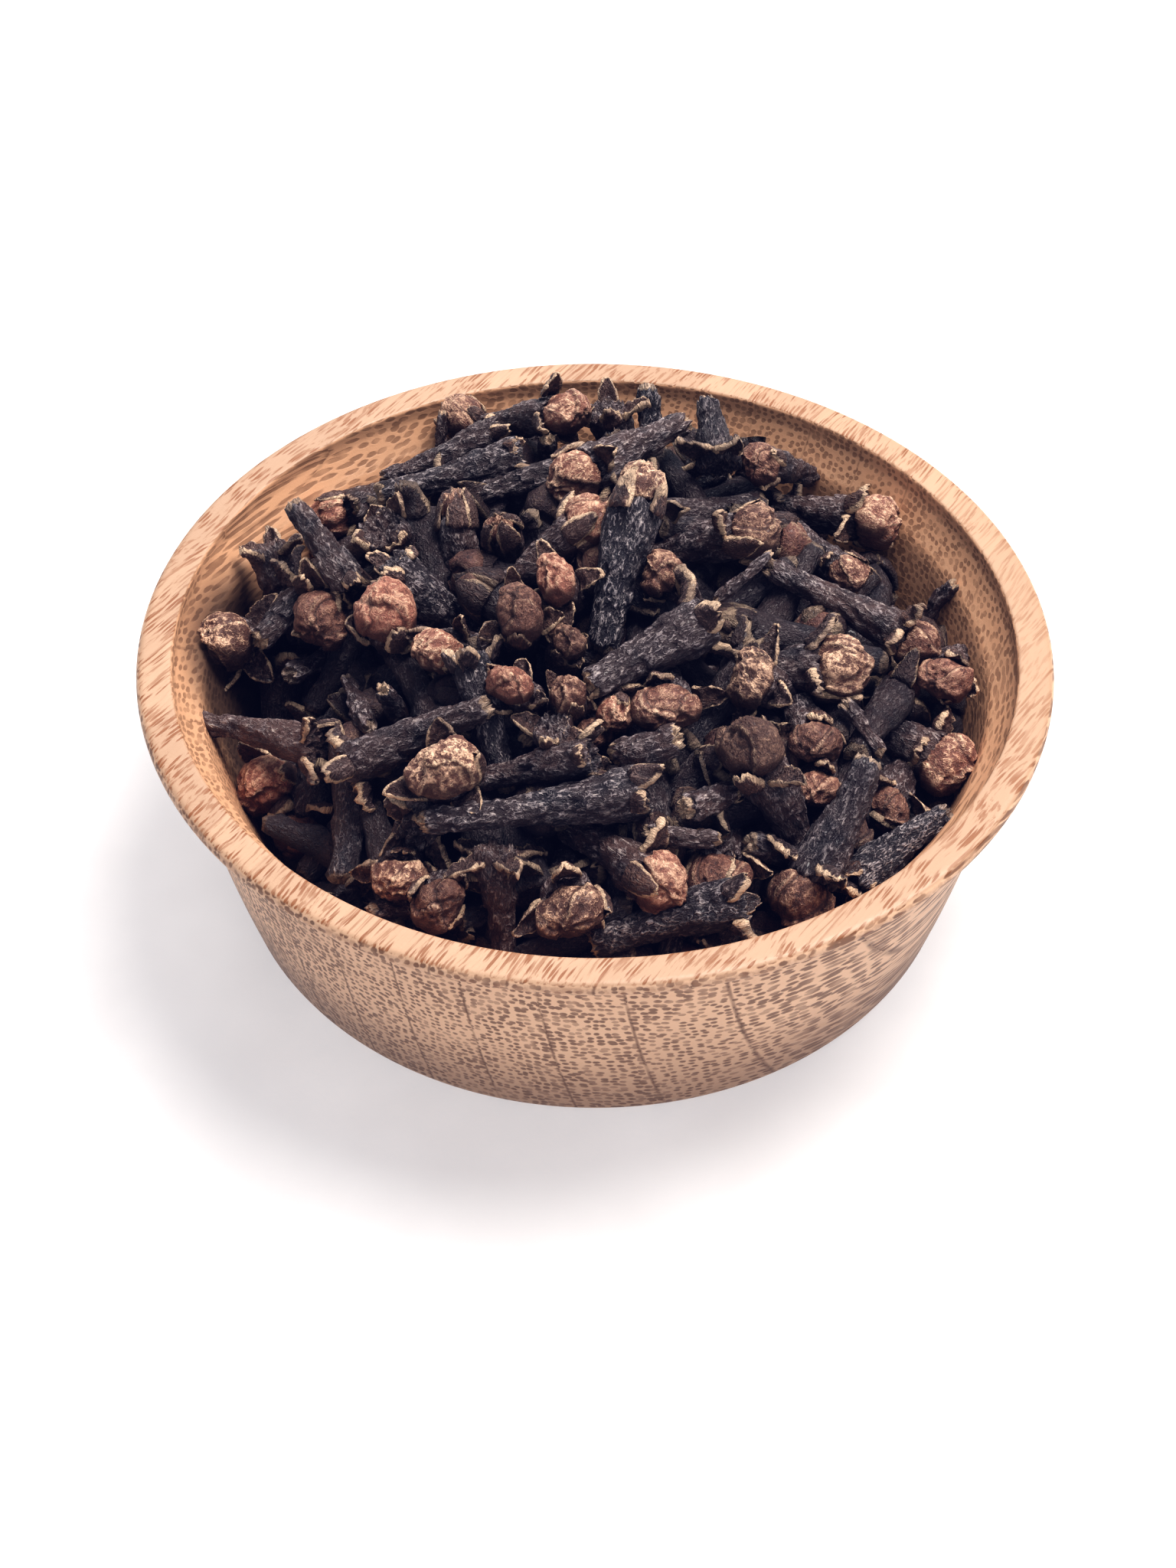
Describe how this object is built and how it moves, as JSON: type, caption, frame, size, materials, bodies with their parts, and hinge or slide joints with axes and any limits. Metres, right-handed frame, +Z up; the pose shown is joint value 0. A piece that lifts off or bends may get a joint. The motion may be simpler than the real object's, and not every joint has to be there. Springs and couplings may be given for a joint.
{
  "type": "bowl of whole cloves",
  "caption": "Small round bamboo bowl with a flat outward lip and a flat foot, heaped with whole dried cloves of uneven size.",
  "frame": {"origin": "centre of the bowl's flat foot, on the surface it stands on", "axes": "+Z up along the bowl's turning axis, +Y away from the side that faces the viewer, +X to the right of that viewer"},
  "size_m": [0.072, 0.072, 0.0349],
  "materials": {
    "bamboo": "smooth turned laminated bamboo, unvarnished, satin to matte, with brown fibre dots and dashes",
    "dried_clove": "matte wrinkled near-black brown stems with tan edged lobes and reddish brown buds"
  },
  "bodies": {
    "root": {"bowl": "bamboo", "clove_heap": "dried_clove"}
  },
  "joints": []
}
